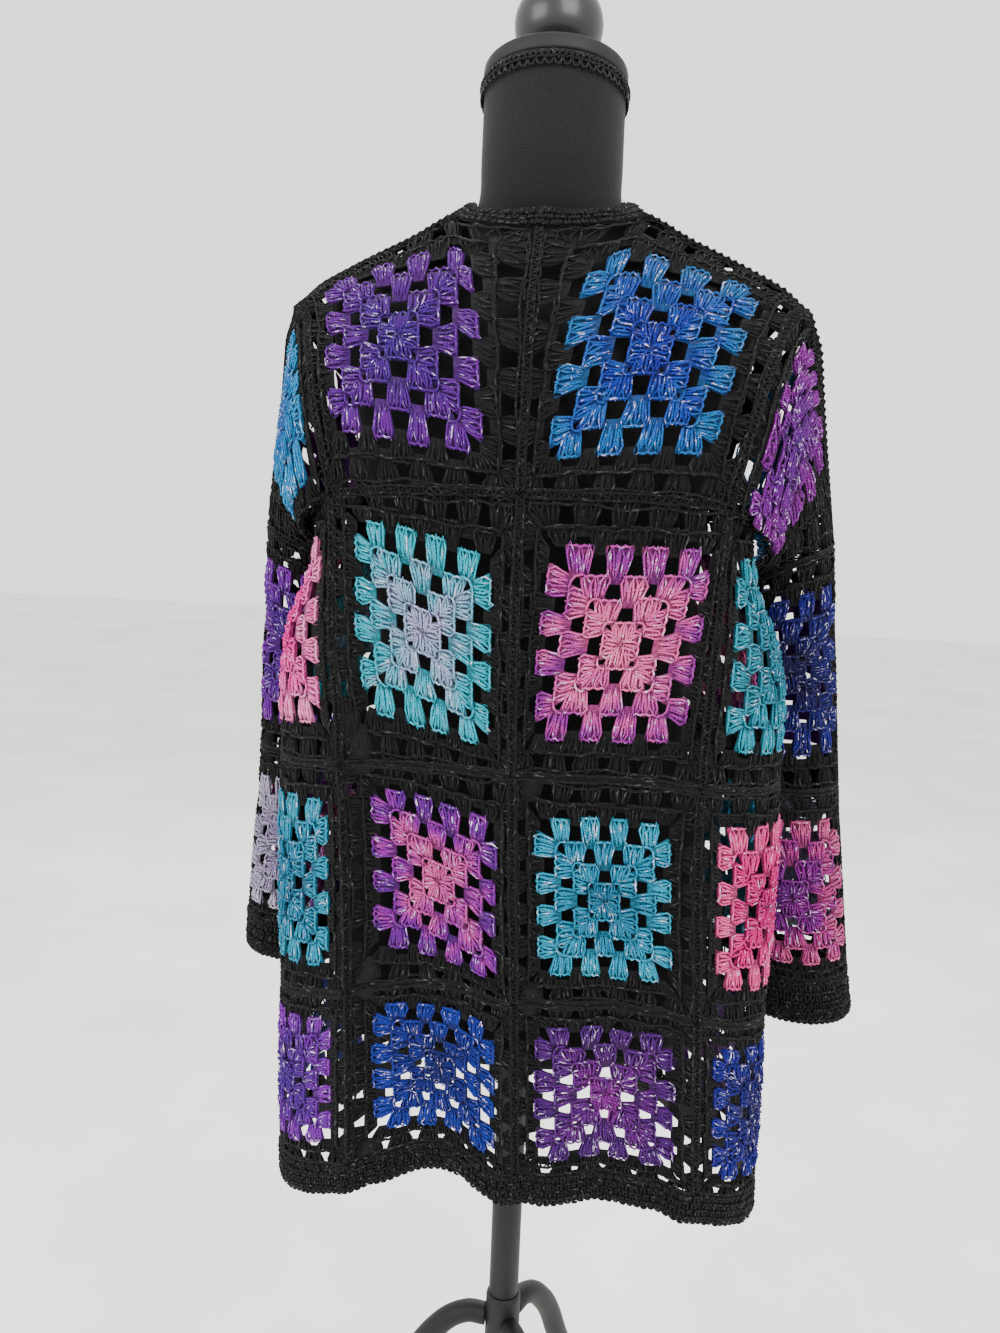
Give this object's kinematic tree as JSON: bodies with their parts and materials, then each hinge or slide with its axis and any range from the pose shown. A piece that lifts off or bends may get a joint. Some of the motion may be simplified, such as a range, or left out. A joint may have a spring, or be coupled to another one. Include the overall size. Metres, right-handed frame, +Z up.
{
  "type": "granny square cardigan on dress form",
  "caption": "Long open crocheted cardigan of black-edged granny squares in bright yarns, hung on a limbless dress form with a turned knob, pole and curved legs.",
  "frame": {"origin": "centre of the whole object's footprint box, on the floor", "axes": "+Z up, +Y out of the cardigan's back, +X to the wearer's left"},
  "size_m": [0.6063, 0.445, 1.5002],
  "materials": {
    "black": "crochet in black yarn",
    "blue": "crochet, blue middle in black rounds",
    "indigo": "crochet, indigo middle in black rounds",
    "magenta": "crochet, magenta middle in black rounds",
    "mist": "crochet, mist middle in black rounds",
    "pink": "crochet, pink middle in black rounds",
    "plum": "crochet, plum middle in black rounds",
    "royal": "crochet, royal middle in black rounds",
    "sky": "crochet, sky middle in black rounds",
    "teal": "crochet, teal middle in black rounds",
    "turquoise": "crochet, turquoise middle in black rounds",
    "violet": "crochet, violet middle in black rounds",
    "jersey": "dark grey knitted jersey",
    "gimp": "plaited black gimp",
    "painted_wood": "turned wood, satin black paint",
    "stand": "satin black steel",
    "rubber": "matte black"
  },
  "bodies": {
    "root": {"back_left_row_1": "teal", "back_left_row_2": "pink", "back_left_row_3": "royal", "back_right_row_1": "pink", "back_right_row_2": "turquoise", "back_right_row_3": "plum", "cuff_left": "black", "cuff_right": "black", "finial": "painted_wood", "foot_pad_1": "rubber", "foot_pad_2": "rubber", "foot_pad_3": "rubber", "front_band_left": "black", "front_band_right": "black", "front_left_row_1": "teal", "front_left_row_2": "pink", "front_left_row_3": "royal", "front_right_row_1": "pink", "front_right_row_2": "turquoise", "front_right_row_3": "plum", "hem_band": "black", "hub": "stand", "leg_1": "stand", "leg_2": "stand", "leg_3": "stand", "neck_band": "black", "neck_cap": "painted_wood", "neck_trim": "gimp", "pole": "stand", "side_left_row_1": "pink", "side_left_row_2": "turquoise", "side_left_row_3": "violet", "side_right_row_1": "teal", "side_right_row_2": "pink", "side_right_row_3": "indigo", "sleeve_left_back_row_1": "sky", "sleeve_left_back_row_2": "violet", "sleeve_left_back_row_3": "mist", "sleeve_left_front_row_1": "magenta", "sleeve_left_front_row_2": "royal", "sleeve_left_front_row_3": "pink", "sleeve_right_back_row_1": "magenta", "sleeve_right_back_row_2": "royal", "sleeve_right_back_row_3": "pink", "sleeve_right_front_row_1": "sky", "sleeve_right_front_row_2": "violet", "sleeve_right_front_row_3": "mist", "torso": "jersey", "yoke_back_left": "violet", "yoke_back_right": "blue", "yoke_front_left": "blue", "yoke_front_right": "violet"}
  },
  "joints": []
}
